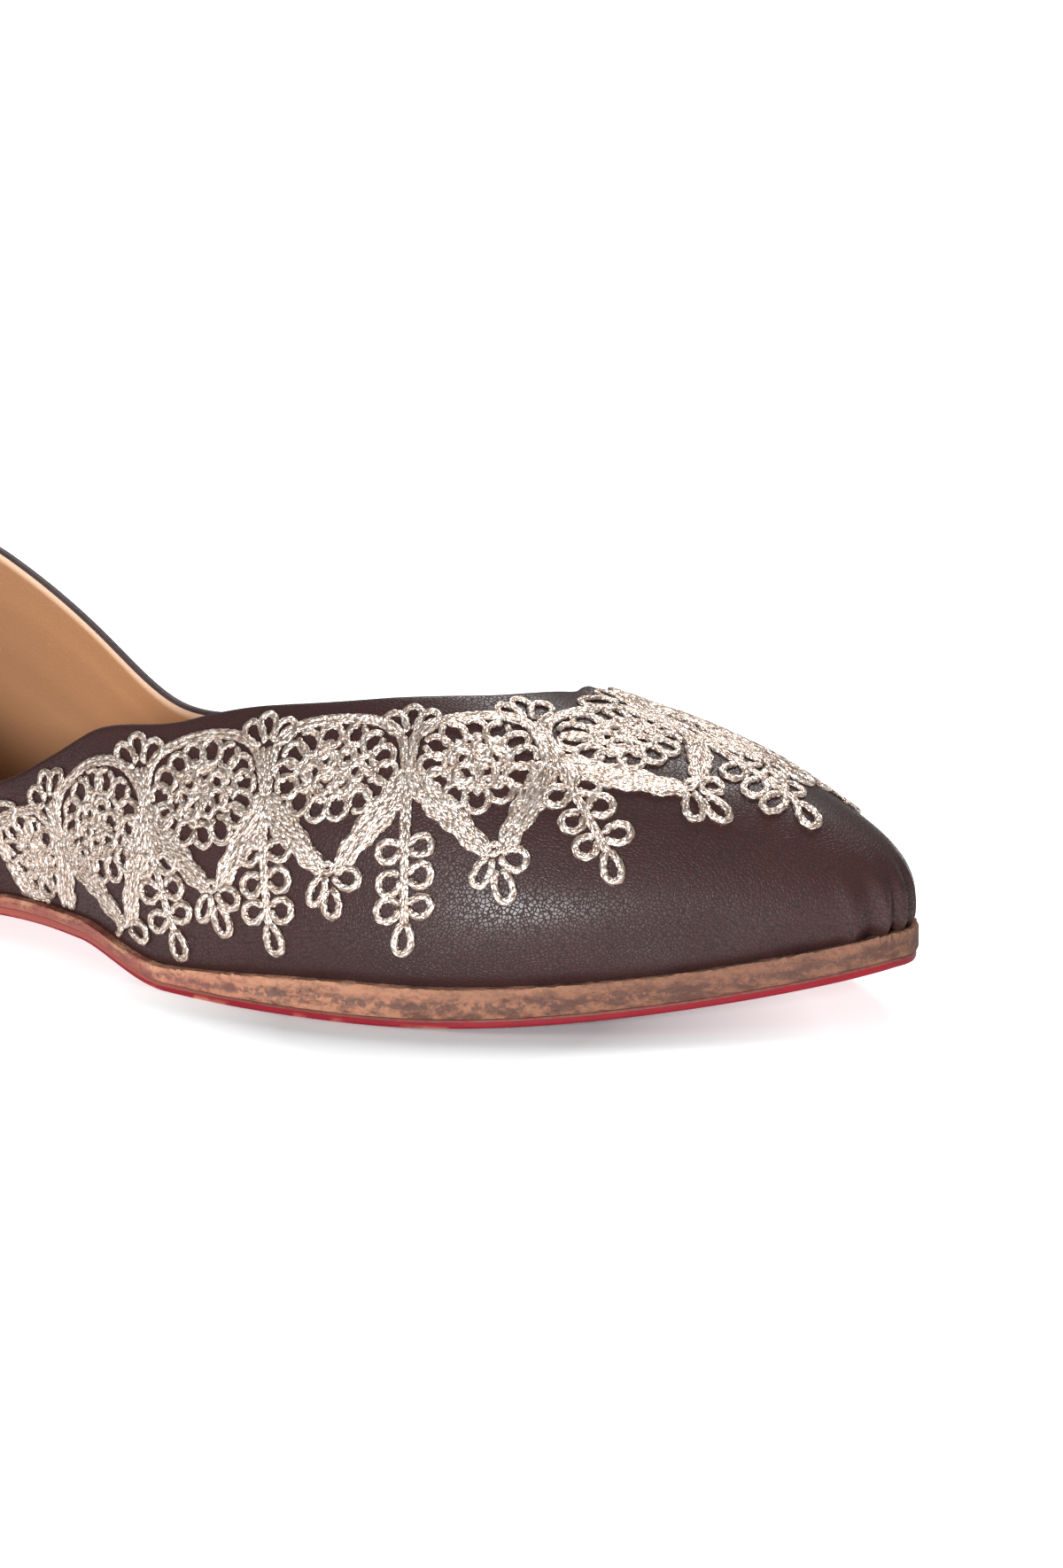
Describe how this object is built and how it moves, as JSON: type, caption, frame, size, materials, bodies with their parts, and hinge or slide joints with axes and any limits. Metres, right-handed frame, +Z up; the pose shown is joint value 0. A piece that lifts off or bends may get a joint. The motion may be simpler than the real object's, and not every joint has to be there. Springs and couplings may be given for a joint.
{
  "type": "mojari shoe",
  "caption": "Left closed-toe slip-on flat in dark leather with a low heel, for a foot put in from above.",
  "frame": {"origin": "middle of the heel's tread, on the floor", "axes": "+X to the toe, +Y to the outer side of the foot, +Z up"},
  "size_m": [0.2524, 0.0849, 0.0578],
  "materials": {
    "upper": "fine-grained dark taupe-brown leather, soft sheen, tan leather lining inside",
    "insole": "tan leather sock, matt",
    "midsole": "brown vegetable-tanned leather, raw cut edge",
    "outsole": "thin leather, painted crimson",
    "heel": "low stacked leather, brown edge"
  },
  "bodies": {
    "root": {"upper": "upper", "insole": "insole", "midsole": "midsole", "outsole": "outsole", "heel": "heel"}
  },
  "joints": []
}
